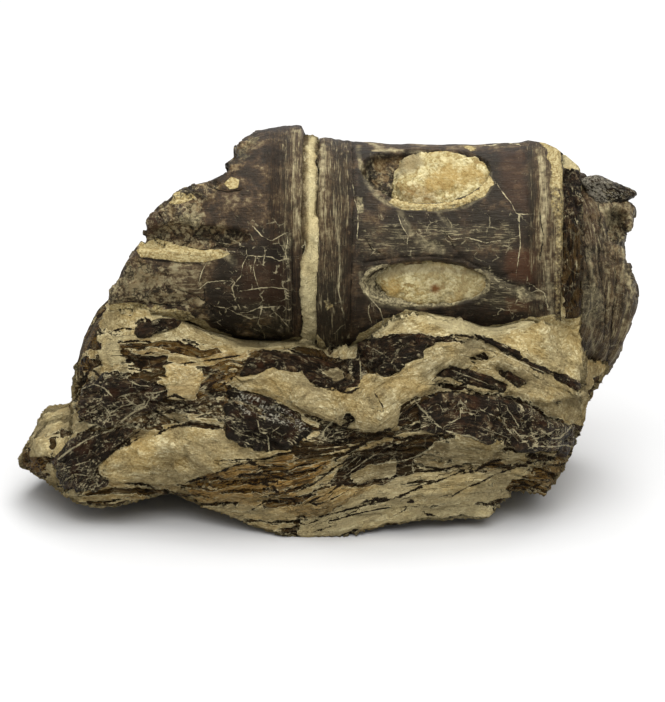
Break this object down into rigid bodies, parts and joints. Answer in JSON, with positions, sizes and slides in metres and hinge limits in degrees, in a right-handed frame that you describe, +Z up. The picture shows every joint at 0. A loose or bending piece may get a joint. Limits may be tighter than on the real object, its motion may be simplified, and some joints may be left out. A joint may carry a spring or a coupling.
{
  "type": "fossil fish vertebra",
  "caption": "Chalk block with fossil fish vertebrae in line along its top and scraps of bone in the beds below, standing on its flat broken foot with its display face leaning back.",
  "frame": {"origin": "on the ground, under the middle of the box round the block", "axes": "+X along the row of vertebrae to the viewer's right, +Y away from the display face, +Z up"},
  "size_m": [0.103, 0.0524, 0.0608],
  "materials": {
    "chalk": "matt pale tan chalk with thin beds and streaks of dark bone and ochre",
    "pit_chalk": "matt sugary pale yellow chalk",
    "vertebra_bone": "satin dark brown fossil bone with fine ridges, pale cracks and dust",
    "scrap_bone": "satin dark brown fossil bone, fibrous and splintered"
  },
  "bodies": {
    "root": {"chalk_block": "chalk", "pit_chalk_upper": "pit_chalk", "pit_chalk_lower": "pit_chalk", "vertebra_middle": "vertebra_bone", "vertebra_left": "vertebra_bone", "vertebra_right": "vertebra_bone", "arch_beak": "scrap_bone", "rib_long": "scrap_bone", "rib_stub_long": "scrap_bone", "rib_stub_short": "scrap_bone", "plate_under_rim": "scrap_bone", "plate_dark_band": "scrap_bone", "skull_lens": "scrap_bone", "skull_left": "scrap_bone", "skull_right": "scrap_bone", "jaw_corner": "scrap_bone", "splint_left": "scrap_bone"}
  },
  "joints": []
}
